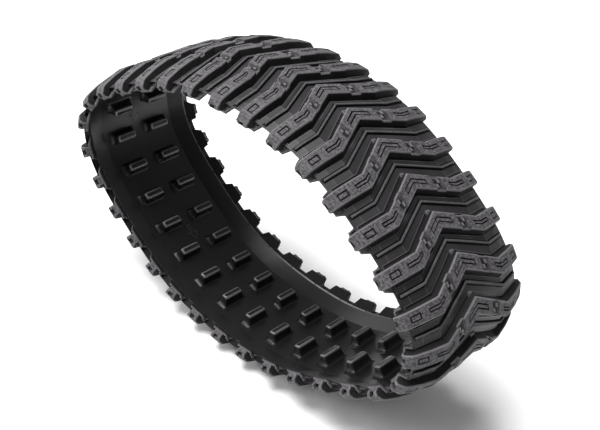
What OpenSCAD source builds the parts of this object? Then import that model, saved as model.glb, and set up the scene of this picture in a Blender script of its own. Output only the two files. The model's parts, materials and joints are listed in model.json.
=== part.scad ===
// Endless moulded rubber track for a tracked vehicle. A thin belt with turned-in shoulders
// carries chevron tread bars outside and two rows of drive lugs inside.
// The belt bends between its lugs, so it is divided there into pitches. Each pitch turns
// about a line on the belt's inner face, and every pitch lies tangent to the loop.
// A pitch is drawn as it lies at the bottom of the loop: X along the belt, Y across it,
// Z towards the inside, with the inner face at Z = 0.

/* [Loop] */
// Number of pitches round the loop, an odd number
pitch_count = 31; // [25:2:31]
// Pitch of the lugs, measured round the tread floor
pitch = 15; // [12:0.5:18]
// Strength of the two lobes that draw the loop out lengthways
two_lobe = 0.72; // [0.5:0.01:0.8]
// Strength of the four lobes that flatten the long runs
four_lobe = 0.71; // [0.4:0.01:0.75]
// Strength of the six lobes that round the ends
six_lobe = 0.55; // [0.3:0.01:0.6]
// Lean of the two lobes along the belt, in degrees of the way round
two_lobe_lean = 4.5; // [0:0.5:6]
// Lean of the four and six lobes along the belt
upper_lobe_lean = 1.7; // [0:0.1:3]

/* [Belt] */
// Thickness of the belt
belt_t = 1.5; // [1:0.1:2.5]
// Width of the flat middle of the belt's outer face
flat_w = 33.2; // [32:0.2:42]
// Width of each shoulder, measured level
shoulder_w = 10.4; // [8:0.1:13]
// How far the lip on the inner face lies inside the belt's edge
lip_inset = 2.8; // [1.5:0.1:4]
// Angle by which each shoulder turns in
shoulder_angle = 15; // [10:0.5:18]

/* [Tread bars] */
// Height of the bars above the belt
bar_h = 2.8; // [2:0.1:4]
// Width of a bar along the belt
bar_w = 5.8; // [4:0.1:7]
// How far a bar's tip lies ahead of its ends
bar_sweep = 8; // [5:0.1:10]
// How far a bar's bend lies inside the edge of the flat middle
bar_bend_inset = 1.1; // [0:0.1:4]
// How far the bar's top runs level with the belt past the flat middle
top_run = 5.9; // [4:0.1:7.5]
// How far the end block reaches past the belt's edge
block_overhang = 3.7; // [2:0.1:6]
// How far the end block's second bend lies inside its widest corner
block_bend_inset = 2.9; // [1:0.1:3.5]
// How far the end block's innermost edge lies inside its widest corner
block_tip_inset = 3.5; // [2:0.1:5]
// Height of the innermost edge above the belt's inner face
block_tip_rise = 5.1; // [4:0.1:6.2]

/* [Thin ribs] */
// Height of the rib between two bars
rib_h = 0.7; // [0.4:0.1:1.2]
// Width of the rib along the belt
rib_w = 0.9; // [0.6:0.1:1.4]

/* [Drive lugs] */
// Distance between the middles of the two rows
lug_gauge = 17.2; // [16:0.2:18]
// Height of the lugs above the inner face
lug_h = 4.4; // [3:0.1:5.5]
// Length across the belt at the foot
lug_foot_w = 12.6; // [10:0.1:13.6]
// Length across the belt at the top
lug_top_w = 8.2; // [6:0.1:9.5]
// Thickness along the belt at the foot
lug_foot_t = 5.6; // [4.5:0.1:7]
// Thickness along the belt at the top
lug_top_t = 2.4; // [1.6:0.1:3.6]

/* [Clearances] */
// Gap that each pitch keeps from its bending line
flex_gap = 0.05; // [0.03:0.01:0.1]
// Angle cut off each pitch's ends on the inner side, half the sharpest bend
relief_angle = 22; // [20:1:30]

/* [Hidden] */
$fn = 32;
TAU = 360;
// Round the inner face the belt is shorter than round its floor.
link_l = pitch - 2 * PI * belt_t / pitch_count;
// Where the bending line lies behind a pitch's lugs, as a share of the pitch.
lead = 0.58;
lug_x = lead * link_l;
lug_y = lug_gauge / 2;
tread_t = belt_t + bar_h;
// Distances from the middle of the belt.
flat_half_w = flat_w / 2;
belt_half_w = flat_half_w + shoulder_w;
lip_half_w = belt_half_w - lip_inset;
block_half_w = belt_half_w + block_overhang;
bar_bend_y = flat_half_w - bar_bend_inset;
// The pitches of the grounded body: the bottom one and its two neighbours.
bottom = round(pitch_count / 4 + lead - 0.5);
// The belt is opened on top, after this pitch, where its bend hardly changes.
last_up = round(3 * pitch_count / 4 - 1 + lead);
MOVING = concat(
    [for (k = [bottom + 2:last_up]) k],
    [for (k = [bottom - 2:-1:last_up + 1 - pitch_count]) (k + pitch_count) % pitch_count]
);

tread_colour = [0.25, 0.25, 0.26];
belt_colour = [0.11, 0.11, 0.12];

function two_digits(k) = k < 10 ? str("0", k) : str(k);
function carcass_name(k) = str("carcass_", two_digits(k));
function tread_name(k) = str("tread_", two_digits(k));

// The way round the loop, in degrees, of the middle of pitch k.
function way_round(k) = TAU * (k + 0.5 - lead) / pitch_count;

// Direction of the belt at a given way round. Only even lobes are used, so the loop closes.
function lobe(n, strength, lean, way) = strength * sin(n * (way - lean)) / n * 180 / PI;
function heading(way) = way
    + lobe(2, two_lobe, two_lobe_lean, way)
    + lobe(4, four_lobe, upper_lobe_lean, way)
    + lobe(6, six_lobe, upper_lobe_lean, way);

// Direction of pitch k, with the bottom pitch level.
function pitch_angle(k) = heading(way_round(k)) - heading(way_round(bottom));
function step_of(k) = link_l * [cos(pitch_angle(k)), sin(pitch_angle(k))];

// The bending lines in order round the loop, before the loop is set on its origin.
LINES = [for (k = 0, p = [0, 0]; k <= pitch_count; p = p + step_of(k), k = k + 1) p];

// Outermost points of a pitch, for the loop's overall box.
function corner(k, x) = LINES[k]
    + x * [cos(pitch_angle(k)), sin(pitch_angle(k))]
    + tread_t * [sin(pitch_angle(k)), -cos(pitch_angle(k))];
CORNERS = [for (k = [0:pitch_count - 1], x = [flex_gap, link_l - flex_gap]) corner(k, x)[0]];
mid_x = (max(CORNERS) + min(CORNERS)) / 2;
ground_z = LINES[bottom][1] - tread_t;

module placed(k) {
    translate([LINES[k][0] - mid_x, 0, LINES[k][1] - ground_z])
        rotate([0, -pitch_angle(k), 0])
            children();
}

// The space of one pitch along the belt. Past the inner face its ends are cut back for bending.
module pitch_space(behind = -flex_gap, ahead = -flex_gap) {
    reach = block_tip_rise + lug_h;
    cut = reach * tan(relief_angle);
    outline = [
        [-behind, -2 * tread_t],
        [link_l + ahead, -2 * tread_t],
        [link_l + ahead, 0],
        [link_l + ahead - cut, reach],
        [-behind + cut, reach],
        [-behind, 0]
    ];
    rotate([90, 0, 0])
        linear_extrude(2.5 * block_half_w, center = true)
            polygon(outline);
}

// A section across the belt, given for its +Y half, drawn through the whole pitch and beyond.
module across_section(half) {
    other = [for (i = [len(half) - 1:-1:0]) [-half[i][0], half[i][1]]];
    translate([-link_l, 0, 0])
        rotate([90, 0, 90])
            linear_extrude(3 * link_l)
                polygon(concat(half, other));
}

function rise(y, from) = (y - from) * tan(shoulder_angle);
// The inner face bends where a belt of even thickness would.
inner_flat = flat_half_w - belt_t * tan(shoulder_angle / 2);
edge_z = -belt_t + rise(belt_half_w, flat_half_w);
lip_z = rise(lip_half_w, inner_flat);
lip = [lip_half_w, lip_z];
belt_edge = [belt_half_w, edge_z];
floor_bend = [flat_half_w, -belt_t];

module belt_section() {
    across_section([[0, -belt_t], floor_bend, belt_edge, lip, [inner_flat, 0], [0, 0]]);
}

// The widest corner lies level with the belt's edge, and the block's top falls towards it.
block_corner = [block_half_w, edge_z];
top_bend = [flat_half_w + top_run, -tread_t + top_run * tan(shoulder_angle)];
block_bend = [block_half_w - block_bend_inset, (top_bend[1] + edge_z) / 2];
block_tip = [block_half_w - block_tip_inset, block_tip_rise];

module tread_section() {
    across_section([
        [0, -tread_t], [flat_half_w, -tread_t], top_bend, block_bend, block_corner,
        block_tip, lip, belt_edge, floor_bend, [0, -belt_t]
    ]);
}

module rib_section() {
    end_y = belt_half_w - rib_w;
    end_z = -belt_t + rise(end_y, flat_half_w);
    across_section([
        [0, -belt_t - rib_h], [flat_half_w, -belt_t - rib_h], [end_y, end_z - rib_h],
        [end_y, end_z], floor_bend, [0, -belt_t]
    ]);
}

// Outline of a chevron across the belt, with its ends at x and straight past its bends.
module chevron(x, w) {
    far_y = block_half_w + 1;
    back = x - w / 2;
    front = x + w / 2;
    translate([0, 0, -2 * tread_t])
        linear_extrude(2 * tread_t + 2 * block_tip_rise)
            polygon([
                [back, -far_y], [front, -far_y], [front, -bar_bend_y], [front + bar_sweep, 0],
                [front, bar_bend_y], [front, far_y], [back, far_y], [back, bar_bend_y],
                [back + bar_sweep, 0], [back, -bar_bend_y]
            ]);
}

module drive_lug() {
    translate([lug_x, lug_y, 0]) {
        intersection() {
            rotate([90, 0, 0])
                linear_extrude(lug_foot_w, center = true)
                    lug_outline(lug_foot_t, lug_top_t);
            rotate([90, 0, 90])
                linear_extrude(lug_foot_t, center = true)
                    lug_outline(lug_foot_w, lug_top_w);
        }
    }
}

module lug_outline(foot, top) {
    root = belt_t / 2;
    polygon([
        [-foot / 2, -root], [foot / 2, -root], [foot / 2, 0],
        [top / 2, lug_h], [-top / 2, lug_h], [-foot / 2, 0]
    ]);
}

module carcass_pitch(behind = -flex_gap, ahead = -flex_gap) {
    color(belt_colour) {
        intersection() {
            belt_section();
            pitch_space(behind, ahead);
        }
        drive_lug();
        mirror([0, 1, 0]) drive_lug();
    }
}

// A pitch's own bar, the tip of the bar behind it, and the rib between the two.
module tread_pitch(behind = -flex_gap, ahead = -flex_gap) {
    color(tread_colour) {
        intersection() {
            tread_section();
            pitch_space(behind, ahead);
            union() {
                chevron(lug_x, bar_w);
                chevron(lug_x - link_l, bar_w);
            }
        }
        intersection() {
            rib_section();
            pitch_space(behind, ahead);
            chevron(lug_x - link_l / 2, rib_w);
        }
    }
}

// In the grounded body the pitches run into each other, far enough to fill the bends.
lap = tread_t * tan(4);

module grounded() {
    for (i = [-1:1]) {
        $behind = i > -1 ? lap : -flex_gap;
        $ahead = i < 1 ? lap : -flex_gap;
        placed(bottom + i) children();
    }
}

module carcass_ground() {
    grounded() carcass_pitch($behind, $ahead);
}

module tread_ground() {
    grounded() tread_pitch($behind, $ahead);
}

carcass_ground();
tread_ground();
for (k = MOVING) {
    placed(k) carcass_pitch();
    placed(k) tread_pitch();
}
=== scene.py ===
import json
import math

import bmesh
import bpy
from bpy.props import FloatProperty, FloatVectorProperty, IntProperty, PointerProperty
from bpy.types import Operator, Panel, PropertyGroup
from mathutils import Matrix, Vector
from mathutils.geometry import delaunay_2d_cdt
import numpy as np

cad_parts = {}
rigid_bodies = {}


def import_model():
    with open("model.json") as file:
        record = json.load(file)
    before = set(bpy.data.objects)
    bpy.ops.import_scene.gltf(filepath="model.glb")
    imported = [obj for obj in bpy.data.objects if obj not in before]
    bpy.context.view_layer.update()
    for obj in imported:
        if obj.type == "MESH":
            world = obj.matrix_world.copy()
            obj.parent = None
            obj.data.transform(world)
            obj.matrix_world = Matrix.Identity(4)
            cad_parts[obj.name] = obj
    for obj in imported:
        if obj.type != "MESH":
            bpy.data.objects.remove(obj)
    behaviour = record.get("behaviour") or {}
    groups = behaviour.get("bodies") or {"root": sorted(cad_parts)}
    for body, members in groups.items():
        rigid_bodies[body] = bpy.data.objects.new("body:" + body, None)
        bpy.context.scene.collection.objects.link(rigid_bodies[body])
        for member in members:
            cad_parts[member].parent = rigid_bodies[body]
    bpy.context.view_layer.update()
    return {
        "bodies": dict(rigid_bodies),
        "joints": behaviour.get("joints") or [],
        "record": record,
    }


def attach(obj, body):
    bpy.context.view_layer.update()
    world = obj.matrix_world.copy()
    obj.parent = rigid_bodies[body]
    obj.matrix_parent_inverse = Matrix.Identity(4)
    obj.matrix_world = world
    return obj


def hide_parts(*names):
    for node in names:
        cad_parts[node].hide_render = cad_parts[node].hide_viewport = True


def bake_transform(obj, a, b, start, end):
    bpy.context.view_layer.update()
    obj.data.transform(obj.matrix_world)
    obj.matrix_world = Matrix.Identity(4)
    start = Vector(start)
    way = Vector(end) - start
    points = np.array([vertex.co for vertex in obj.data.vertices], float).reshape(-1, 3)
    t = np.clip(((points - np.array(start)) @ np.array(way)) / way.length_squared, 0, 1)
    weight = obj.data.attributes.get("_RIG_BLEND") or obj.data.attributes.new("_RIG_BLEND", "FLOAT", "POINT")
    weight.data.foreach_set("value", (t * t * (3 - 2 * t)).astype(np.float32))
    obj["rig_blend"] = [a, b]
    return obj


bl_info = {
    "name": "Rubber Track",
    "version": (1, 0, 0),
    "blender": (4, 5, 0),
    "location": "View3D > Sidebar > Rubber Track",
    "description": "Makes the moulded surfaces of an endless rubber track around its packed frame",
    "category": "Object",
}

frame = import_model()

GROUND = "ground"


# ---------------------------------------------------------------- the loop

def cross_section_point(position):
    """The X and Z of a point, as a 2D vector."""
    return Vector((position[0], position[2]))


class Loop:
    """The bending lines, headings and bodies of the pitches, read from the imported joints."""

    def __init__(self):
        moving = {int(name[-2:]) for name in frame["bodies"] if name != GROUND}
        self.count = max(moving) + 1
        self.grounded = sorted(set(range(self.count)) - moving)
        self.lines = {}
        for joint in frame["joints"]:
            pitch = int(joint["child"][-2:])
            ahead = joint["axis"][1] > 0
            self.lines[(pitch + ahead) % self.count] = cross_section_point(joint["pos_m"])
        known = next(k for k in range(self.count) if k in self.lines and k + 1 in self.lines)
        self.pitch = (self.lines[known + 1] - self.lines[known]).length
        self._level_the_bottom()
        self.opening = next(k for k in range(self.count) if k not in self.lines)
        self._close_the_top()

    def _level_the_bottom(self):
        """The middle grounded pitch lies level, at the height of the face that wheels run on."""
        face = next(m for m in frame["record"]["mounts"] if m["name"] == "wheel_face")
        level = face["pos_m"][2]
        before = self.lines[self.grounded[0]]
        reach = math.sqrt(self.pitch ** 2 - (before.y - level) ** 2)
        start = Vector((before.x + reach, level))
        self.lines[self.grounded[1]] = start
        self.lines[self.grounded[2]] = start + Vector((self.pitch, 0))

    def _close_the_top(self):
        """The line that no joint has lies a pitch from both its neighbours, on the outer side."""
        a = self.lines[(self.opening - 1) % self.count]
        b = self.lines[(self.opening + 1) % self.count]
        middle = (a + b) / 2
        half = (b - a) / 2
        rise = math.sqrt(self.pitch ** 2 - half.length_squared)
        outward = Vector((half.y, -half.x)).normalized()
        self.lines[self.opening] = middle + rise * outward

    def line(self, k):
        return self.lines[k % self.count]

    def heading(self, k):
        step = self.line(k + 1) - self.line(k)
        return math.atan2(step.y, step.x)

    def bend(self, k):
        """The turn at line k, between pitch k - 1 and pitch k."""
        turn = self.heading(k) - self.heading(k - 1)
        return (turn + math.pi) % (2 * math.pi) - math.pi

    def middle(self, k):
        point = (self.line(k) + self.line(k + 1)) / 2
        return Vector((point.x, 0, point.y))

    def body(self, k):
        k %= self.count
        return GROUND if k in self.grounded else f"pitch_{k:02d}"

    def node(self, kind, k):
        k %= self.count
        return f"{kind}_{GROUND}" if k in self.grounded else f"{kind}_{k:02d}"


loop = Loop()


# ---------------------------------------------------------------- sizes and colours

def share(name, description, default):
    """A size given as a share of the pitch, which is measured round the tread floor."""
    return FloatProperty(name=name, description=description, default=default, precision=3)


def colour(name, description, default):
    return FloatVectorProperty(
        name=name, description=description, default=default, size=3, min=0, max=1, subtype="COLOR")


class BeltSizes(PropertyGroup):
    floor_pitch: FloatProperty(
        name="Floor pitch", description="Pitch measured round the tread floor",
        default=0.015, unit="LENGTH")
    thickness: share("Thickness", "Thickness of the belt", 0.10)
    flat_half: share("Flat half width", "Half the width of the flat middle, outside", 1.107)
    shoulder_bend_y: share("Shoulder bend", "Where the shoulder bends again, from the middle", 1.55)
    shoulder_bend_drop: share("Shoulder bend drop", "How far that bend lies inwards", 0.105)
    edge_y: share("Edge", "Half the width of the belt", 1.80)
    edge_drop: share("Edge drop", "How far the belt's edge lies inwards", 0.186)
    lip_y: share("Lip", "Where the lip on the inner face lies, from the middle", 1.607)
    lip_drop: share("Lip drop", "How far the lip lies inwards", 0.222)
    lip_bead: FloatProperty(
        name="Lip bead", description="Height of the bead on the lip, as a share of the thickness",
        default=0.25)
    slices: IntProperty(name="Slices", description="Straight steps in one pitch's bend", default=14)


class BarSizes(PropertyGroup):
    height: share("Height", "Height of the bars above the floor", 0.187)
    end_width: share("End width", "Width of the end block along the belt", 0.37)
    apex_width: share("Apex width", "Width of the bar along the belt at its apex", 0.41)
    sweep: share("Sweep", "How far the apex lies ahead of the ends", 0.54)
    bend_y: share("Bend", "Where the arm meets the end block, from the middle", 1.03)
    crown: share("Edge rounding", "Height of the bevel round the top", 0.022)
    flank_draft: share("Draft", "How far each flank leans", 0.028)
    foot_groove: share("Foot groove", "How far the groove round the foot reaches", 0.088)
    sipe_width: share("Sipe width", "Width of the narrow cuts in the top", 0.034)
    block_corner_y: share("Widest corner", "Half the width over the end blocks", 2.025)
    block_corner_drop: share("Corner drop", "How far that corner lies inwards", 0.250)
    block_tip_y: share("Tip", "Where the end block's innermost edge lies", 1.835)
    block_tip_drop: share("Tip drop", "How far the innermost edge lies inwards", 0.418)


class RibSizes(PropertyGroup):
    height: share("Height", "Height of the thin ribs above the floor", 0.055)
    width: share("Width", "Width of the thin ribs along the belt", 0.060)
    groove: share("Groove", "Width of the groove along each side of a rib", 0.035)


class LugSizes(PropertyGroup):
    row_y: share("Row", "Distance of each row from the middle", 0.5733)
    height: share("Height", "Height of the drive lugs above the inner face", 0.2933)
    foot_w: share("Foot width", "Width at the foot, across the belt", 0.84)
    top_w: share("Top width", "Width at the top, across the belt", 0.545)
    foot_t: share("Foot thickness", "Thickness at the foot, along the belt", 0.40)
    top_t: share("Top thickness", "Thickness at the top, along the belt", 0.165)


class RubberColours(PropertyGroup):
    raised: colour("Raised faces", "Greyed matt faces of the bars", (0.044, 0.041, 0.045))
    # The flank colour is painted shade: it darkens the sides of the bars and ribs and the bottoms of their
    # cuts and recesses.
    flank: colour("Flanks", "Sides of the bars and ribs", (0.0062, 0.0055, 0.0062))
    floor: colour("Floor", "Smooth floor between the bars", (0.0125, 0.0112, 0.0125))
    inner: colour("Inner face", "Near-black inner face", (0.0074, 0.0064, 0.0072))
    # Pale colour for the painted highlights along edges, folds, the lip bead and the lugs' ridges, and for
    # the pale grain specks on the raised faces.
    specks_and_highlights: colour("Edges", "Paler rubber along the edges", (0.165, 0.158, 0.166))


class StageSizes(PropertyGroup):
    azimuth: FloatProperty(
        name="Azimuth", description="Way round to the camera, from -Y towards +X",
        default=math.radians(42.83), unit="ROTATION")
    elevation: FloatProperty(
        name="Elevation", description="Angle that the camera looks down",
        default=math.radians(35.58), unit="ROTATION")
    roll: FloatProperty(
        name="Roll", description="Turn of the camera about its line of sight",
        default=math.radians(-5.02), unit="ROTATION")
    distance: FloatProperty(
        name="Distance", description="From the camera to the point it aims at",
        default=0.3842, unit="LENGTH")
    aim: FloatVectorProperty(
        name="Aim", description="Point that the camera aims at",
        default=(0.01063, 0.0001, 0.05905), size=3, unit="LENGTH")
    lens: FloatProperty(
        name="Lens", description="Focal length in millimetres, on a 36 mm sensor", default=61.69)
    floor_size: FloatProperty(
        name="Floor size", description="Width of the pale floor", default=8.0, unit="LENGTH")
    floor_tint: colour("Floor tint", "Colour of the pale floor", (0.95, 0.95, 0.95))


GROUPS = {
    "track_belt": BeltSizes,
    "track_bars": BarSizes,
    "track_ribs": RibSizes,
    "track_lugs": LugSizes,
    "track_colours": RubberColours,
    "track_stage": StageSizes,
}


def sizes(name):
    return getattr(bpy.context.scene, name)


# ---------------------------------------------------------------- node trees

class Value:
    """A node socket on which arithmetic adds Math nodes."""

    def __init__(self, maker, socket):
        self.maker = maker
        self.socket = socket

    def _math(self, operation, *values):
        return self.maker.node(
            "ShaderNodeMath", {"operation": operation}, dict(enumerate(values)))

    def __add__(self, other):
        return self._math("ADD", self, other)

    def __sub__(self, other):
        return self._math("SUBTRACT", self, other)

    def __rsub__(self, other):
        return self._math("SUBTRACT", other, self)

    def __mul__(self, other):
        return self._math("MULTIPLY", self, other)

    def __truediv__(self, other):
        return self._math("DIVIDE", self, other)

    __radd__ = __add__
    __rmul__ = __mul__

    def sine(self):
        return self._math("SINE", self)

    def cosine(self):
        return self._math("COSINE", self)

    def tangent(self):
        return self._math("TANGENT", self)

    def clamp(self):
        return self.maker.node("ShaderNodeClamp", {}, {0: self})


class Maker:
    """Adds nodes to one tree."""

    def __init__(self, tree):
        self.tree = tree

    def node(self, kind, settings, values, output=0):
        """Adds a node: its settings first, then the values or links of its sockets."""
        made = self.tree.nodes.new(kind)
        for key, setting in settings.items():
            setattr(made, key, setting)
        for key, value in values.items():
            if isinstance(value, Value):
                self.tree.links.new(value.socket, made.inputs[key])
            else:
                made.inputs[key].default_value = value
        return Value(self, made.outputs[output]) if made.outputs else None


class Shader(Maker):
    """One material's node tree."""

    def __init__(self, name):
        self.material = bpy.data.materials.new(name)
        self.material.use_nodes = True
        super().__init__(self.material.node_tree)
        self.tree.nodes.clear()
        self.coordinates = self.node("ShaderNodeTexCoord", {}, {}, output="Object")

    def noise(self, scale, detail=3.0, roughness=0.5):
        """Noise, with its scale given in features per metre."""
        return self.node(
            "ShaderNodeTexNoise", {},
            {"Vector": self.coordinates, "Scale": scale, "Detail": detail, "Roughness": roughness})

    def attribute(self, name):
        return self.node("ShaderNodeAttribute", {"attribute_name": name}, {}, output="Fac")

    def mix(self, factor, first, second):
        """A mix of two colours, each a link or three numbers."""
        first = first if isinstance(first, Value) else (*first, 1)
        second = second if isinstance(second, Value) else (*second, 1)
        return self.node(
            "ShaderNodeMix", {"data_type": "RGBA", "clamp_factor": True},
            {0: factor, 6: first, 7: second}, output=2)

    def bump(self, height, strength, distance):
        return self.node(
            "ShaderNodeBump", {},
            {"Height": height, "Strength": strength, "Distance": distance})

    def finish(self, **sockets):
        """Ends the tree in one Principled surface."""
        values = {key.replace("_", " "): value for key, value in sockets.items()}
        surface = self.node("ShaderNodeBsdfPrincipled", {}, values)
        self.node("ShaderNodeOutputMaterial", {}, {"Surface": surface})
        return self.material


class Shaper(Maker):
    """A Geometry Nodes tree with named inputs, which ends in realised instances and a material."""

    def __init__(self, name, inputs):
        super().__init__(bpy.data.node_groups.new(name, "GeometryNodeTree"))
        face = self.tree.interface
        kinds = {"Geometry": "NodeSocketGeometry", **inputs, "Material": "NodeSocketMaterial"}
        self.keys = {
            label: face.new_socket(label, in_out="INPUT", socket_type=kind).identifier
            for label, kind in kinds.items()}
        face.new_socket("Geometry", in_out="OUTPUT", socket_type="NodeSocketGeometry")
        given = self.tree.nodes.new("NodeGroupInput")
        self.given = {label: Value(self, given.outputs[label]) for label in kinds}

    def split(self, vector):
        made = self.tree.nodes.new("ShaderNodeSeparateXYZ")
        self.tree.links.new(vector.socket, made.inputs[0])
        return [Value(self, out) for out in made.outputs]

    def join(self, x, y, z):
        return self.node("ShaderNodeCombineXYZ", {}, {0: x, 1: y, 2: z})

    def finish(self, geometry):
        real = self.node("GeometryNodeRealizeInstances", {}, {0: geometry})
        painted = self.node(
            "GeometryNodeSetMaterial", {}, {"Geometry": real, "Material": self.given["Material"]})
        self.node("NodeGroupOutput", {}, {0: painted})

    def shape(self, name, mesh, values, smooth):
        """A new object whose mesh is this tree's result, smooth up to an angle in degrees."""
        piece = bpy.data.objects.new(name, mesh)
        bpy.context.scene.collection.objects.link(piece)
        modifier = piece.modifiers.new("shape", "NODES")
        modifier.node_group = self.tree
        for label, value in values.items():
            modifier[self.keys[label]] = value
        bpy.context.view_layer.update()
        graph = bpy.context.evaluated_depsgraph_get()
        result = bpy.data.meshes.new_from_object(
            piece.evaluated_get(graph), preserve_all_data_layers=True, depsgraph=graph)
        piece.modifiers.remove(modifier)
        piece.data = result
        result.name = name
        result.shade_smooth()
        result.set_sharp_from_angle(angle=math.radians(smooth))
        return piece


def wrap_tree():
    """Bends a flat pitch round its bending line, tangent to the pitches on both sides."""
    shaper = Shaper("Wrap round the loop", {
        "Pitch": "NodeSocketFloat", "Bend": "NodeSocketFloat",
        "Heading": "NodeSocketFloat", "Line": "NodeSocketVector"})
    given = shaper.given
    x, y, z = shaper.split(shaper.node("GeometryNodeInputPosition", {}, {}))
    line_x, _, line_z = shaper.split(given["Line"])
    half_bend = given["Bend"] * 0.5
    half_pitch = given["Pitch"] * 0.5
    away = half_pitch / half_bend.sine()
    radius = half_pitch / half_bend.tangent() - z
    turn = given["Heading"] + x / given["Pitch"] * given["Bend"]
    place = shaper.join(
        line_x - given["Heading"].sine() * away + radius * turn.sine(),
        y,
        line_z + given["Heading"].cosine() * away - radius * turn.cosine())
    shaper.finish(shaper.node(
        "GeometryNodeSetPosition", {}, {"Geometry": given["Geometry"], "Position": place}))
    return shaper


def rows_tree():
    """Stands a lug in each of two rows, then sets the pair on its pitch."""
    shaper = Shaper("Pair of drive lugs", {
        "Row": "NodeSocketFloat", "Place": "NodeSocketVector", "Turn": "NodeSocketVector"})
    given = shaper.given
    rows = shaper.node(
        "GeometryNodeMeshLine", {"mode": "OFFSET"},
        {"Count": 2, "Start Location": shaper.join(0.0, given["Row"] * -1.0, 0.0),
         "Offset": shaper.join(0.0, given["Row"] * 2.0, 0.0)})
    pair = shaper.node(
        "GeometryNodeInstanceOnPoints", {}, {"Points": rows, "Instance": given["Geometry"]})
    shaper.finish(shaper.node(
        "GeometryNodeTransform", {},
        {"Geometry": pair, "Translation": given["Place"], "Rotation": given["Turn"]}))
    return shaper


# ---------------------------------------------------------------- finishes

def tread_rubber():
    """Matt rubber with a fine eroded grain: pale on the raised faces, with painted shade down the flanks and
    in the cuts, and painted highlights along the edges and folds.
    """
    tones = sizes("track_colours")
    shader = Shader("tread rubber")
    raised = shader.attribute("raised")
    edge = shader.attribute("edge")
    grain = shader.noise(1350.0, 2.5, 0.6)
    mottle = shader.noise(420.0, 3.0, 0.55)
    face = (raised * (0.80 + (mottle - 0.5) * 1.3)).clamp()
    # Faces with a low raised tone take the flank colour, painted shade.
    base = shader.mix(face, tones.flank, tones.raised)
    # Painted highlight along edges, bevels and folds, varied by the mottle.
    base = shader.mix((edge * (0.30 + mottle * 0.6)).clamp(), base, tones.specks_and_highlights)
    speck = ((grain - 0.5) * 4.0 + 0.35).clamp()
    base = shader.mix(speck * raised * 0.6, base, tones.specks_and_highlights)
    height = grain * 0.8 + mottle * 0.6
    return shader.finish(
        Base_Color=base,
        Roughness=(0.62 + grain * 0.22 - edge * 0.08).clamp(),
        Specular_IOR_Level=0.28,
        Normal=shader.bump(height, 0.9, 0.00022),
    )


def belt_rubber():
    """Smooth rubber: dark grey outside, near-black and satin inside. The groove bottoms outside take the
    near-black as painted shade, and painted highlights run along the bars' feet, the lip bead and the lugs'
    ridges.
    """
    tones = sizes("track_colours")
    shader = Shader("belt rubber")
    outside = shader.attribute("raised")
    edge = shader.attribute("edge")
    fine = shader.noise(1900.0, 2.0, 0.5)
    streaks = shader.noise(90.0, 4.0, 0.6)
    outer = shader.mix((streaks - 0.35).clamp() * 0.8, tones.floor, tones.raised)
    base = shader.mix(outside, tones.inner, outer)
    # Painted highlight along the bars' feet, the lip bead and the lugs' ridges, weaker on the outside.
    base = shader.mix((edge * (0.9 - outside * 0.35)).clamp(), base, tones.specks_and_highlights)
    rough = 0.36 + outside * 0.13 + (streaks - 0.5) * 0.16 + (fine - 0.5) * 0.10 - edge * 0.10
    return shader.finish(
        Base_Color=base,
        Roughness=rough.clamp(),
        Specular_IOR_Level=0.40,
        Normal=shader.bump(fine * 0.6 + streaks * 2.0, 0.35, 0.00008),
    )


def floor_finish():
    """The pale studio floor."""
    tones = sizes("track_stage")
    shader = Shader("pale floor")
    return shader.finish(Base_Color=(*tones.floor_tint, 1), Roughness=0.9)


# ---------------------------------------------------------------- moulded reliefs

class Section:
    """A band between two lines across the belt, both given from the middle out to one edge.
    A point of it has a distance s along the outer line, and a level: 0 on the base line, 1 just
    under the outer line, and past 1 the height in pitches above that. The other half mirrors it.
    Points are (distance from the middle, height above the tread floor)."""

    def __init__(self, outer, base, crown=0.0, lip=None):
        self.outer = [Vector(p) for p in outer]
        self.base = [Vector(p) for p in base]
        self.crown = crown
        self.lip = lip
        self.stops = [0.0]
        for a, b in zip(self.outer, self.outer[1:]):
            self.stops.append(self.stops[-1] + (b - a).length)

    @property
    def reach(self):
        return self.stops[-1]

    def place(self, s, level):
        side = -1 if s < 0 else 1
        s = min(abs(s), self.reach - 1e-9)
        i = next(j for j in range(len(self.stops) - 1) if s < self.stops[j + 1])
        f = (s - self.stops[i]) / (self.stops[i + 1] - self.stops[i])
        along = self.outer[i + 1] - self.outer[i]
        out = Vector((-along.y, along.x)).normalized()
        top = self.outer[i].lerp(self.outer[i + 1], f) - self.crown * out
        base = self.base[i].lerp(self.base[i + 1], f)
        point = base.lerp(top, min(level, 1.0)) + max(level - 1.0, 0.0) * out
        return side * point.x, point.y


def widened(outline, distance):
    """An anticlockwise outline moved outwards by a distance, with mitred corners."""
    count = len(outline)
    points = [Vector(p) for p in outline]
    moved = []
    for i in range(count):
        before = (points[i] - points[i - 1]).normalized()
        after = (points[(i + 1) % count] - points[i]).normalized()
        normal_a = Vector((before.y, -before.x))
        normal_b = Vector((after.y, -after.x))
        middle = (normal_a + normal_b).normalized()
        moved.append(points[i] + middle * distance / max(middle.dot(normal_a), 0.3))
    return moved


# Tones are (raised, edge). Raised mixes the raised-face colour with the flank colour, which is painted
# shade; on the belt it mixes the outside colour with the near-black inside. Edge mixes in painted highlight.
FACE = (1.0, 0.0)
# A raised face under full painted highlight.
PAINTED_HIGHLIGHT = (1.0, 1.0)
# A rounded top edge: half in the flank colour's painted shade, under nearly full painted highlight.
BEVEL = (0.5, 0.9)
# The flank colour, painted shade; on the belt, the near-black inside.
DARK = (0.0, 0.0)
# The lowered band and the rib tops: part-way to the flank colour, with some painted highlight.
BAND = (0.35, 0.3)
RIB_TOP = (0.45, 0.35)


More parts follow.
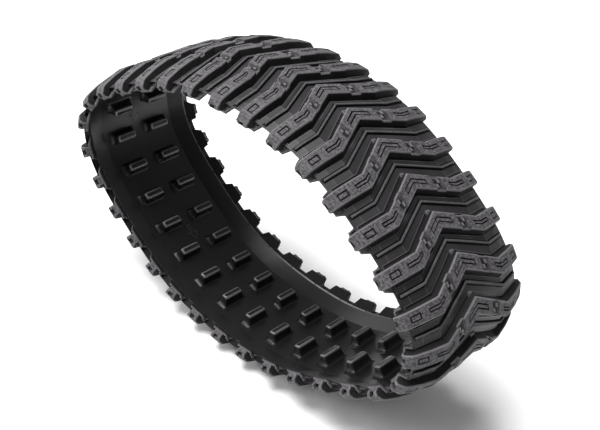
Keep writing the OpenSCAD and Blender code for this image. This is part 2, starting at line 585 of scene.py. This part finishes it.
class Relief:
    """Outlines inside each other, each at its own level, that together make one surface.
    Each has a tone as well: how much it is a raised face rather than the flank colour, which is painted
    shade, and how much painted highlight it carries."""

    def __init__(self):
        self.points = []
        self.levels = []
        self.tones = []
        self.edges = []

    def ring(self, outline, levels, tone=FACE):
        first = len(self.points)
        count = len(outline)
        self.points += [Vector(p) for p in outline]
        self.levels += levels if isinstance(levels, list) else [levels] * count
        self.tones += tone if isinstance(tone, list) else [tone] * count
        self.edges += [(first + i, first + (i + 1) % count) for i in range(count)]
        return first

    def sipe(self, outline, top, depth, width):
        """A narrow cut round an outline, with the land inside it left standing."""
        self.ring(outline, top)
        # The bottom of the cut takes the flank colour, painted shade.
        self.ring(widened(outline, -0.25 * width), depth, DARK)
        self.ring(widened(outline, -0.75 * width), depth, DARK)
        self.ring(widened(outline, -width), top - 0.008)

    def recess(self, outline, top, depth, slope):
        self.ring(outline, top)
        # The floor of the recess takes the flank colour, painted shade.
        self.ring(widened(outline, -slope), depth, DARK)

    def pad(self, outline, foot, top, slope):
        # The pad's foot takes painted shade and its top painted highlight.
        self.ring(outline, foot, DARK)
        self.ring(widened(outline, -slope), top, PAINTED_HIGHLIGHT)

    def sheet(self):
        """The surface as a flat mesh: X along the belt, Y across it, Z the level."""
        points, _, faces, origins, _, _ = delaunay_2d_cdt(
            self.points, self.edges, [], 1, 1e-7)
        mesh = bmesh.new()
        raised = mesh.verts.layers.float.new("raised")
        edge = mesh.verts.layers.float.new("edge")
        verts = []
        for point, origin in zip(points, origins):
            if not origin:
                raise ValueError(f"two outlines of a relief cross each other near {point}")
            vert = mesh.verts.new((point.x, point.y, self.levels[origin[0]]))
            vert[raised], vert[edge] = self.tones[origin[0]]
            verts.append(vert)
        for face in faces:
            mesh.faces.new([verts[i] for i in face])
        return mesh


def mirrored(outline):
    return [(x, -y) for x, y in reversed(outline)]


def cut(mesh, place, axis, keep=None):
    """Cuts a sheet at a place on an axis, and keeps one side of it or both."""
    normal = Vector((0, 0, 0))
    normal[axis] = 1
    bmesh.ops.bisect_plane(
        mesh, geom=mesh.verts[:] + mesh.edges[:] + mesh.faces[:], dist=1e-7,
        plane_co=normal * place, plane_no=normal,
        clear_outer=keep == "below", clear_inner=keep == "above")


class FlatPitch:
    """One pitch laid flat: X along the belt from its bending line, Y across it, Z inwards.
    It runs between two places given in pitches past the middle of the first pitch's lugs."""

    def __init__(self, start, end):
        self.start = start
        self.end = end
        self.mesh = bmesh.new()
        self.raised = self.mesh.verts.layers.float.new("raised")
        self.edge = self.mesh.verts.layers.float.new("edge")

    def press(self, relief, section, shifts=(-1, 0, 1)):
        """Adds a relief as closed solids, with its neighbours' shares of this pitch."""
        slices = sizes("track_belt").slices
        for shift in shifts:
            sheet = relief.sheet()
            cut(sheet, self.start - shift, 0, "above")
            cut(sheet, self.end - shift, 0, "below")
            if sheet.faces:
                for i in range(1, slices):
                    place = WHOLE[0] + i / slices
                    if self.start < place < self.end:
                        cut(sheet, place - shift, 0)
                cut(sheet, 0, 1)
                for stop in section.stops[1:-1]:
                    self._fold(sheet, stop)
                self._close(sheet, section, shift)
            sheet.free()

    def _fold(self, sheet, stop, line=0.018, tone=0.45):
        """Cuts a sheet where its section folds, and paints the fold as a thin line of painted highlight."""
        edge = sheet.verts.layers.float["edge"]
        raised = sheet.verts.layers.float["raised"]
        for place in (-stop, stop):
            for beside in (place - line, place + line, place):
                cut(sheet, beside, 1)
            for vert in sheet.verts:
                if abs(vert.co.y - place) < 1e-6 and vert[raised] > 0.95:
                    vert[edge] = max(vert[edge], tone)

    def _close(self, sheet, section, shift):
        belt = sizes("track_belt")
        unit = belt.floor_pitch
        raised = sheet.verts.layers.float["raised"]
        edge = sheet.verts.layers.float["edge"]

        def point(vert, level):
            y, height = section.place(vert.co.y, level)
            along = (vert.co.x + shift - LINE_AT) * loop.pitch
            return along, y * unit, -(height + belt.thickness) * unit

        tops, bases = {}, {}
        for vert in sheet.verts:
            top = tops[vert] = self.mesh.verts.new(point(vert, vert.co.z))
            top[self.raised], top[self.edge] = vert[raised], vert[edge]
            # Where the lip bead runs on the inner face, the base gets a painted highlight.
            bead = section.lip and abs(abs(vert.co.y) - section.stops[section.lip]) < 1e-6
            bases[vert] = self.mesh.verts.new(point(vert, -belt.lip_bead if bead else 0.0))
            bases[vert][self.edge] = 1.0 if bead else 0.0
        for face in sheet.faces:
            corners = list(face.verts)
            self.mesh.faces.new([tops[v] for v in corners])
            self.mesh.faces.new([bases[v] for v in reversed(corners)])
        for side in sheet.edges:
            if side.is_boundary:
                corner = side.link_loops[0]
                a = corner.vert
                b = side.other_vert(a)
                self.mesh.faces.new([tops[b], tops[a], bases[a], bases[b]])

    def finish(self, name):
        bmesh.ops.recalc_face_normals(self.mesh, faces=self.mesh.faces[:])
        mesh = bpy.data.meshes.new(name)
        self.mesh.to_mesh(mesh)
        self.mesh.free()
        return mesh


# A flat pitch runs from the middle of one pitch to the middle of the next, with the line that it
# bends about between them, all measured in pitches past the first pitch's lugs. Where no joint
# closes the loop, OPENED is the width of the slit.
LUG_LEAD = 0.58
LINE_AT = 1 - LUG_LEAD
OPENED = 0.009
WHOLE = (LINE_AT - 0.5, LINE_AT + 0.5)
BEHIND = (WHOLE[0], LINE_AT - OPENED / 2)
AHEAD = (LINE_AT + OPENED / 2, WHOLE[1])


def bent(k, material):
    """What the wrap tree needs to bend a flat pitch round one bending line."""
    line = loop.line(k)
    return {
        "Pitch": loop.pitch,
        "Bend": loop.bend(k),
        "Heading": loop.heading(k - 1) + loop.bend(k) / 2,
        "Line": (line.x, 0.0, line.y),
        "Material": material,
    }


def lay_round(shaper, kind, node_kind, material, fill, smooth=13):
    """Makes one kind of piece for every bending line. A whole pitch bends between its two
    bodies. At the opening it is halved, and inside the grounded body it only rides."""
    flats = {}
    for part, (start, end) in {"": WHOLE, "_behind": BEHIND, "_ahead": AHEAD}.items():
        flat = FlatPitch(start, end)
        fill(flat)
        flats[part] = flat.finish(kind + part)
    for k in range(loop.count):
        values = bent(k, material)
        parts = {"_behind": k - 1, "_ahead": k} if k == loop.opening else {"": k}
        for part, rider in parts.items():
            piece = shaper.shape(f"{kind}_{k:02d}{part}", flats[part], values, smooth)
            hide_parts(loop.node(node_kind, rider))
            before, after = loop.body(k - 1), loop.body(k)
            if part or before == after:
                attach(piece, loop.body(rider))
            else:
                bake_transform(piece, before, after, start=loop.middle(k - 1), end=loop.middle(k))


# ---------------------------------------------------------------- the pieces

def belt_section():
    belt = sizes("track_belt")
    inner_flat = belt.flat_half + 0.04
    return Section(
        outer=[(0, 0), (belt.flat_half, 0), (belt.shoulder_bend_y, -belt.shoulder_bend_drop),
               (belt.edge_y, -belt.edge_drop)],
        base=[(0, -belt.thickness), (inner_flat, -belt.thickness), (belt.lip_y, -belt.lip_drop),
              (belt.edge_y - 0.006, -belt.edge_drop - 0.012)],
        lip=2)


def rib_outline(grow=0.0):
    """The thin chevron midway between two bars, from one edge of the belt to the other."""
    rib, belt = sizes("track_ribs"), sizes("track_belt")
    half = rib.width / 2 + grow
    shoulder, apex, bend, end = 0.52, 1.07, belt.flat_half, 1.755 + grow
    slant = half * math.hypot(1, (apex - shoulder) / bend)
    right = [(shoulder + half, end), (shoulder + half, bend), (apex + slant, 0)]
    left = [(apex - slant, 0), (shoulder - half, bend), (shoulder - half, end)]
    lead = [(x, -y) for x, y in right[:2]] + [right[2]] + right[1::-1]
    trail = left[:0:-1] + [left[0]] + [(x, -y) for x, y in left[1:]]
    return lead + trail


def fill_belt(flat):
    """The belt, with a groove along both sides of each rib and one round the foot of each bar."""
    rib, bar = sizes("track_ribs"), Bar()
    floor, rib_groove, foot_groove, foot_end = 1.0, 0.70, 0.72, 1.74
    section = belt_section()
    relief = Relief()
    reach = section.reach
    relief.ring([(3, -reach), (3, reach), (-3, reach), (-3, -reach)], floor)
    for shift in range(-2, 2):
        outline = [(x + shift, y) for x, y in rib_outline(rib.groove)]
        # The bottom of each rib groove takes the near-black inner colour, as painted shade.
        relief.recess(outline, floor, rib_groove, 0.012)
    foot = bar.outline([0, bar.bar.bend_y, foot_end], bar.bar.foot_groove)
    for shift in range(-2, 3):
        outline = [(x + shift, y) for x, y in foot]
        relief.ring(widened(outline, 0.022), floor)
        # A ring of painted highlight runs round the foot of each bar, and the groove bottom inside it takes
        # the near-black inner colour as painted shade.
        relief.ring(outline, floor, PAINTED_HIGHLIGHT)
        relief.ring(widened(outline, -0.014), foot_groove, DARK)
    flat.press(relief, section, shifts=(0,))
    if flat.end == BEHIND[1]:
        press_tongue(flat, section)


def press_tongue(flat, section):
    """A thin tongue on the inner face, which hides most of the slit at the loop's opening. It is
    rooted in the half behind, and stays clear of the half ahead as the loop flexes. It stops
    short of the belt's edges, where the slit still shows from above."""
    root, clear, under = 0.030, 0.008, 0.017

    def layer(high, low):
        return Section(outer=[(y, h + high) for y, h in section.base[:3]],
                       base=[(y, h + low) for y, h in section.base[:3]])

    for end, high in ((LINE_AT - 0.006, 0.02), (LINE_AT + 0.020, -clear)):
        flat.end = end
        strip, sheet = layer(high, -under), Relief()
        half = strip.reach - 0.03
        sheet.ring([(end, -half), (end, half), (LINE_AT - root, half), (LINE_AT - root, -half)],
                   1.0, DARK)
        flat.press(sheet, strip, shifts=(0,))


def fill_ribs(flat):
    rib, belt = sizes("track_ribs"), sizes("track_belt")
    depth = 0.045
    section = Section(
        outer=[(0, rib.height), (belt.flat_half, rib.height),
               (belt.shoulder_bend_y, rib.height - belt.shoulder_bend_drop),
               (belt.edge_y, rib.height * 0.9 - belt.edge_drop)],
        base=[(0, -depth), (belt.flat_half, -depth),
              (belt.shoulder_bend_y, -depth - belt.shoulder_bend_drop),
              (belt.edge_y - 0.02, -belt.edge_drop - 0.02)],
        crown=0.012)
    relief = Relief()
    # The rib's flanks take the flank colour, painted shade; its bevel a painted highlight; and its top a
    # tone part-way to the flank colour, with some painted highlight.
    relief.ring(rib_outline(0.006), 0.05, DARK)
    relief.ring(rib_outline(0.0), 0.85, DARK)
    relief.ring(rib_outline(-0.003), 1.0, BEVEL)
    relief.ring(rib_outline(-0.012), 1.012, RIB_TOP)
    flat.press(relief, section, shifts=(-2, -1, 0, 1))


class Bar:
    """One chevron bar, with its end blocks turned down past the belt's edges."""

    def __init__(self):
        self.bar, self.belt = sizes("track_bars"), sizes("track_belt")
        bar = self.bar
        sunk = 0.045
        tip_y, tip_drop = bar.block_tip_y, bar.block_tip_drop
        self.section = Section(
            outer=[(0, bar.height), (self.belt.flat_half, bar.height), (1.50, 0.082),
                   (1.85, -0.050), (1.93, -0.100), (bar.block_corner_y, -bar.block_corner_drop),
                   (bar.block_corner_y - 0.042, -bar.block_corner_drop - 0.095), (tip_y, -tip_drop)],
            base=[(0, -sunk), (self.belt.flat_half, -sunk), (1.45, -0.105), (1.60, -0.155),
                  (1.635, -0.195), (1.665, -0.272), (1.74, -0.352), (tip_y - 0.030, -tip_drop - 0.012)],
            crown=bar.crown)
        self.thick = bar.height + sunk - bar.crown
        self.top = 1 + bar.crown

    def level(self, depth):
        """The level that lies a depth below the top, on the bar's flat part."""
        if depth <= self.bar.crown:
            return self.top - depth
        return 1 - (depth - self.bar.crown) / self.thick

    def middle(self, s):
        return self.bar.sweep * max(1 - abs(s) / self.bar.bend_y, 0)

    def half_width(self, s):
        ends = self.bar.end_width / 2
        apex = self.bar.apex_width / 2
        return ends + (apex - ends) * max(1 - abs(s) / self.bar.bend_y, 0)

    def outline(self, stations, grow):
        """The bar's outline through its stations, moved outwards."""
        slant = math.hypot(1, self.bar.sweep / self.bar.bend_y)
        reach = self.section.reach

        def side(s, sign):
            out = grow * (slant if abs(s) < self.bar.bend_y - 1e-6 else 1)
            past = max(abs(s) - self.section.stops[4], 0) / (reach - self.section.stops[4])
            taper = 0.022 * past + (0.035 if past > 0.99 else 0)
            u = self.middle(s) + sign * (self.half_width(s) + out - taper)
            far = s + math.copysign(1, s) * grow if abs(s) >= reach - 1e-6 else s
            return u, far

        rising = sorted({-s for s in stations} | set(stations))
        return [side(s, 1) for s in rising] + [side(s, -1) for s in reversed(rising)]

    def relief(self):
        bar, stops = self.bar, self.section.stops
        band = [(0.0, 0), (0.488, 0), (0.508, 0.062), (0.702, 0.062), (0.720, 0), (bar.bend_y, 0),
                (stops[2], 0), (stops[3], 0), (stops[4], 0), (stops[5], 0), (stops[7], 0)]
        stations = [s for s, _ in band]
        drops = {round(s, 4): drop for s, drop in band}
        made = Relief()

        rising = sorted({-s for s in stations} | set(stations))

        def levels(level, extra):
            found = []
            for s in rising + rising[::-1]:
                drop = drops[round(abs(s), 4)]
                found.append(self.level(drop + extra) if level is None else
                             level * (1 - drop / self.thick))
            return found

        # Rings from the foot up: the flanks take the flank colour, painted shade; the rounded top edge and
        # the rim inside it carry painted highlight; inside that lies the raised face.
        rows = [
            (0.010 + bar.flank_draft, 0.06, 0, DARK),
            (bar.flank_draft, 0.24, 0, DARK),
            (0.006, 0.92, 0, DARK),
            (0.0, None, bar.crown, BEVEL),
            (-0.020, None, 0.0, PAINTED_HIGHLIGHT),
            (-0.040, None, 0.0, FACE),
        ]
        count = len(rising)
        for grow, level, extra, tone in rows:
            outline = self.outline(stations, grow)
            tones = [tone] * len(outline)
            if tone is FACE:
                # On the lowered band the top takes a tone part-way to the flank colour, with some painted
                # highlight.
                tones = [BAND if drops[round(abs(s), 4)] else FACE for s in rising + rising[::-1]]
            last_ring = made.ring(outline, levels(level, extra), tones)
        for i, s in enumerate(rising):
            if band[1][0] <= abs(s) <= band[4][0]:
                made.edges.append((last_ring + i, last_ring + 2 * count - 1 - i))
        self._sipes(made)
        return made

    def _sipes(self, made):
        bar, stops, width = self.bar, self.section.stops, self.bar.sipe_width
        deep, top = self.level(0.095), self.top
        reach, half = 0.345, 0.072
        apex, end = self.middle(0), self.middle(reach)
        made.sipe([(end + half, -reach), (apex + half, 0), (end + half, reach),
                   (end - half, reach), (apex - half, 0), (end - half, -reach)], top, deep, width)
        bend, start = 1.06, 0.87
        slot = [(0.055, 1.37), (-0.055, 1.37), (-0.055, bend), (0.035, start), (0.150, start),
                (0.055, bend)]
        ring = [(0.070, 1.57), (0.070, stops[3] - 0.045), (-0.090, stops[3] - 0.045),
                (-0.090, 1.57)]
        pocket = [(0.085, 2.135), (0.085, 2.285), (-0.075, 2.285), (-0.075, 2.135)]
        low, land = self.level(0.062), self.level(0.022)
        pads = []
        for near, far, left, right in ((0.530, 0.598, -0.12, -0.01), (0.612, 0.682, 0.01, 0.12)):
            a, b = self.middle(near), self.middle(far)
            pads.append([(a + right, near), (b + right, far), (b + left, far), (a + left, near)])
        for turn in (lambda outline: outline, mirrored):
            made.sipe(turn(slot), top, deep, width)
            made.sipe(turn(ring), top, 0.80, width)
            made.recess(turn(pocket), top, 0.45, 0.018)
            for pad in pads:
                made.pad(turn(pad), low, land, 0.012)


def raised_block(outline, top_level, crown):
    """A small block with a bevelled top."""
    made = Relief()
    # The foot takes the flank colour as painted shade; the bevel and the rim of the top carry painted
    # highlight.
    made.ring(widened(outline, 0.012), 0.05, DARK)
    made.ring(outline, 1.0, BEVEL)
    made.ring(widened(outline, -crown), 1.0 + crown, PAINTED_HIGHLIGHT)
    made.ring(widened(outline, -2.2 * crown), 1.0 + crown, FACE)
    return made


def fill_bars(flat):
    bar = Bar()
    flat.press(bar.relief(), bar.section)
    step = Section(outer=[(0, 0.04), (1, 0.04)], base=[(0, -0.045), (1, -0.045)], crown=0.012)
    ahead = bar.middle(0) + bar.half_width(0)
    flat.press(raised_block(
        [(ahead + 0.085, 0.055), (ahead - 0.10, 0.055), (ahead - 0.10, -0.055),
         (ahead + 0.085, -0.055)], 1.0, 0.012), step)


def fill_flanges(flat):
    """The thin flared plate along the inner side of each end block, and its fin."""
    bar = sizes("track_bars")
    tip = Vector((bar.block_tip_y, -bar.block_tip_drop))
    plate = Section(
        outer=[(1.640, -0.175), tuple(tip + Vector((0.028, 0.026)))],
        base=[(1.600, -0.228), tuple(tip + Vector((-0.014, -0.026)))], crown=0.012)
    end = plate.reach - 0.015
    outline = [(0.37, 0.02), (0.235, end), (-0.245, end), (-0.41, 0.02)]
    fin = Section(
        outer=[(1.700, -0.165), (1.800, -0.205), (1.862, -0.350)],
        base=[(1.630, -0.240), (1.700, -0.320), (1.815, -0.425)], crown=0.008)
    fin_end = fin.reach - 0.015
    blade = [(0.300, 0.02), (0.285, fin_end), (0.250, fin_end), (0.250, 0.02)]
    for turn in (lambda shape: shape, mirrored):
        flat.press(raised_block(turn(outline), 1.0, 0.012), plate)
        flat.press(raised_block(turn(blade), 1.0, 0.008), fin)


def fill_arrow(flat):
    """A plain arrow along the belt, raised a little on the inner face between four lugs."""
    inner = -sizes("track_belt").thickness
    section = Section(outer=[(0, inner - 0.020), (1, inner - 0.020)],
                      base=[(0, inner + 0.03), (1, inner + 0.03)])
    across, shaft, head, tail, neck, point = -0.06, 0.045, 0.150, 0.24, 0.50, 0.72
    outline = [(tail, -shaft), (neck, -shaft), (neck, -head), (point, 0), (neck, head),
               (neck, shaft), (tail, shaft)]
    outline = [(x, y + across) for x, y in outline]
    made = Relief()
    made.ring(widened(outline, 0.010), 0.6, DARK)
    # The rim of the arrow's top carries a painted highlight.
    made.ring(outline, 1.0, (0.0, 0.6))
    made.ring(widened(outline, -0.012), 1.0, DARK)
    flat.press(made, section, shifts=(0,))


def lug_mesh():
    """One drive lug: a flared foot, leaning sides and a rounded ridge."""
    lug, unit = sizes("track_lugs"), sizes("track_belt").floor_pitch
    foot_t, foot_w = lug.foot_t / 2, lug.foot_w / 2
    top_t, top_w = lug.top_t / 2, lug.top_w / 2
    high = lug.height
    levels = [
        (-0.055, foot_t, foot_w), (0.004, foot_t, foot_w), (0.018, foot_t * 0.86, foot_w * 0.89),
        (0.045, foot_t * 0.76, foot_w * 0.80), (high * 0.50, top_t + 0.046, top_w + 0.034),
        (high * 0.80, top_t + 0.026, top_w + 0.022), (high * 0.91, top_t + 0.010, top_w + 0.008),
        (high * 0.975, top_t * 0.80, top_w - 0.008), (high, top_t * 0.45, top_w - 0.030)]
    mesh = bmesh.new()
    edge = mesh.verts.layers.float.new("edge")
    rings = []
    for height, half_x, half_y in levels:
        round_by = min(half_x, half_y) * 0.42
        ring = []
        for quarter in range(4):
            start = quarter * math.pi / 2
            sign_x = 1 if quarter in (0, 3) else -1
            sign_y = 1 if quarter in (0, 1) else -1
            for step in range(4):
                angle = start + step / 3 * math.pi / 2
                ring.append(mesh.verts.new((
                    (sign_x * (half_x - round_by) + round_by * math.cos(angle)) * unit,
                    (sign_y * (half_y - round_by) + round_by * math.sin(angle)) * unit,
                    height * unit)))
        for vert in ring:
            # The upper shoulder of the ridge carries a painted highlight.
            vert[edge] = 1.0 if 0.85 < height / high < 0.99 else 0.0
        rings.append(ring)
    for low, high_ring in zip(rings, rings[1:]):
        for i in range(len(low)):
            j = (i + 1) % len(low)
            mesh.faces.new([low[i], low[j], high_ring[j], high_ring[i]])
    mesh.faces.new(rings[-1])
    mesh.faces.new(rings[0][::-1])
    result = bpy.data.meshes.new("drive lug")
    mesh.to_mesh(result)
    mesh.free()
    return result


class MakeBelt(Operator):
    """Make the thin belt, with a groove beside each rib"""
    bl_idname = "rubber_track.belt"
    bl_label = "Belt"

    def execute(self, context):
        lay_round(wrap_tree(), "belt", "carcass", belt_rubber(), fill_belt, 9)
        return {"FINISHED"}


class MakeTread(Operator):
    """Make the chevron bars with their end blocks, the flared flanges and the thin ribs"""
    bl_idname = "rubber_track.tread"
    bl_label = "Tread"

    def execute(self, context):
        rubber, shaper = tread_rubber(), wrap_tree()
        lay_round(shaper, "bars", "tread", rubber, fill_bars)
        lay_round(shaper, "flanges", "tread", rubber, fill_flanges)
        lay_round(shaper, "ribs", "tread", rubber, fill_ribs)
        return {"FINISHED"}


class MakeLugs(Operator):
    """Make the pair of drive lugs on every pitch"""
    bl_idname = "rubber_track.lugs"
    bl_label = "Drive lugs"

    def execute(self, context):
        lug, unit = sizes("track_lugs"), sizes("track_belt").floor_pitch
        shaper, rubber, shape = rows_tree(), belt_rubber(), lug_mesh()
        for k in range(loop.count):
            heading = loop.heading(k)
            past = (1 - LINE_AT - 0.5) * loop.pitch
            place = loop.middle(k) + past * Vector((math.cos(heading), 0, math.sin(heading)))
            piece = shaper.shape(f"drive_lugs_{k:02d}", shape, {
                "Row": lug.row_y * unit, "Place": place, "Turn": (0.0, -heading, 0.0),
                "Material": rubber}, smooth=40)
            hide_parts(loop.node("carcass", k))
            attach(piece, loop.body(k))
        return {"FINISHED"}


class MakeArrows(Operator):
    """Make the raised arrows on the inner face, which show the way the track runs"""
    bl_idname = "rubber_track.arrows"
    bl_label = "Direction arrows"

    def execute(self, context):
        shaper, rubber = wrap_tree(), belt_rubber()
        flat = FlatPitch(*WHOLE)
        fill_arrow(flat)
        mesh = flat.finish("arrow")
        for k in (1, 5):
            piece = shaper.shape(f"arrow_{k:02d}", mesh, bent(k, rubber), smooth=20)
            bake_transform(piece, loop.body(k - 1), loop.body(k),
                     start=loop.middle(k - 1), end=loop.middle(k))
        return {"FINISHED"}


class MakeStage(Operator):
    """Make the pale floor, the soft lights and the camera"""
    bl_idname = "rubber_track.stage"
    bl_label = "Stage"

    def execute(self, context):
        stage, scene = sizes("track_stage"), context.scene
        scene.view_settings.view_transform = "Standard"
        half = stage.floor_size / 2
        mesh = bpy.data.meshes.new("floor")
        mesh.from_pydata([(-half, -half, 0), (half, -half, 0), (half, half, 0), (-half, half, 0)],
                         [], [(0, 1, 2, 3)])
        mesh.materials.append(floor_finish())
        floor = bpy.data.objects.new("floor", mesh)
        scene.collection.objects.link(floor)

        world = bpy.data.worlds.new("studio")
        scene.world = world
        world.use_nodes = True
        back = world.node_tree.nodes["Background"]
        back.inputs["Color"].default_value = (1, 1, 1, 1)
        back.inputs["Strength"].default_value = 0.27
        target = Vector((0, 0, 0.05))
        for name, place, width, power in SOFT_LIGHTS:
            light = bpy.data.lights.new(name, "AREA")
            light.shape = "SQUARE"
            light.size = width
            light.energy = power
            lamp = bpy.data.objects.new(name, light)
            lamp.location = place
            lamp.rotation_euler = (target - Vector(place)).to_track_quat("-Z", "Y").to_euler()
            scene.collection.objects.link(lamp)

        camera = bpy.data.cameras.new("camera")
        camera.lens = stage.lens
        camera.sensor_width = 36
        camera.clip_start = 0.01
        eye = bpy.data.objects.new("camera", camera)
        level = math.cos(stage.elevation)
        back_axis = Vector((math.sin(stage.azimuth) * level, -math.cos(stage.azimuth) * level,
                            math.sin(stage.elevation)))
        right = Vector((0, 0, 1)).cross(back_axis).normalized()
        up = back_axis.cross(right)
        turned_up = up * math.cos(stage.roll) + right * math.sin(stage.roll)
        turned_right = turned_up.cross(back_axis)
        turn = Matrix((turned_right, turned_up, back_axis)).transposed().to_4x4()
        turn.translation = Vector(stage.aim) + back_axis * stage.distance
        eye.matrix_world = turn
        scene.collection.objects.link(eye)
        scene.camera = eye
        return {"FINISHED"}


SOFT_LIGHTS = (
    ("key", (-0.77, -0.66, 3.5), 2.2, 215.0),
    ("front", (-2.2, -2.5, 1.8), 1.5, 56.0),
    ("left", (-3.3, 0.2, 1.7), 1.4, 50.0),
)


class TrackPanel(Panel):
    """Lists the sizes and the steps"""
    bl_idname = "VIEW3D_PT_rubber_track"
    bl_label = "Rubber Track"
    bl_space_type = "VIEW_3D"
    bl_region_type = "UI"
    bl_category = "Rubber Track"

    def draw(self, context):
        layout = self.layout
        for step in STEPS:
            layout.operator(step.bl_idname)
        for name, group in GROUPS.items():
            box = layout.box()
            for key in group.__annotations__:
                box.prop(sizes(name), key)


STEPS = (MakeBelt, MakeTread, MakeLugs, MakeArrows, MakeStage)


def register():
    for kind in (*GROUPS.values(), *STEPS, TrackPanel):
        bpy.utils.register_class(kind)
    for name, group in GROUPS.items():
        setattr(bpy.types.Scene, name, PointerProperty(type=group))


def unregister():
    for name in GROUPS:
        delattr(bpy.types.Scene, name)
    for kind in (TrackPanel, *reversed(STEPS), *reversed(GROUPS.values())):
        bpy.utils.unregister_class(kind)


def main():
    register()
    for step in STEPS:
        group, name = step.bl_idname.split(".")
        getattr(getattr(bpy.ops, group), name)()


if __name__ == "__main__":
    main()
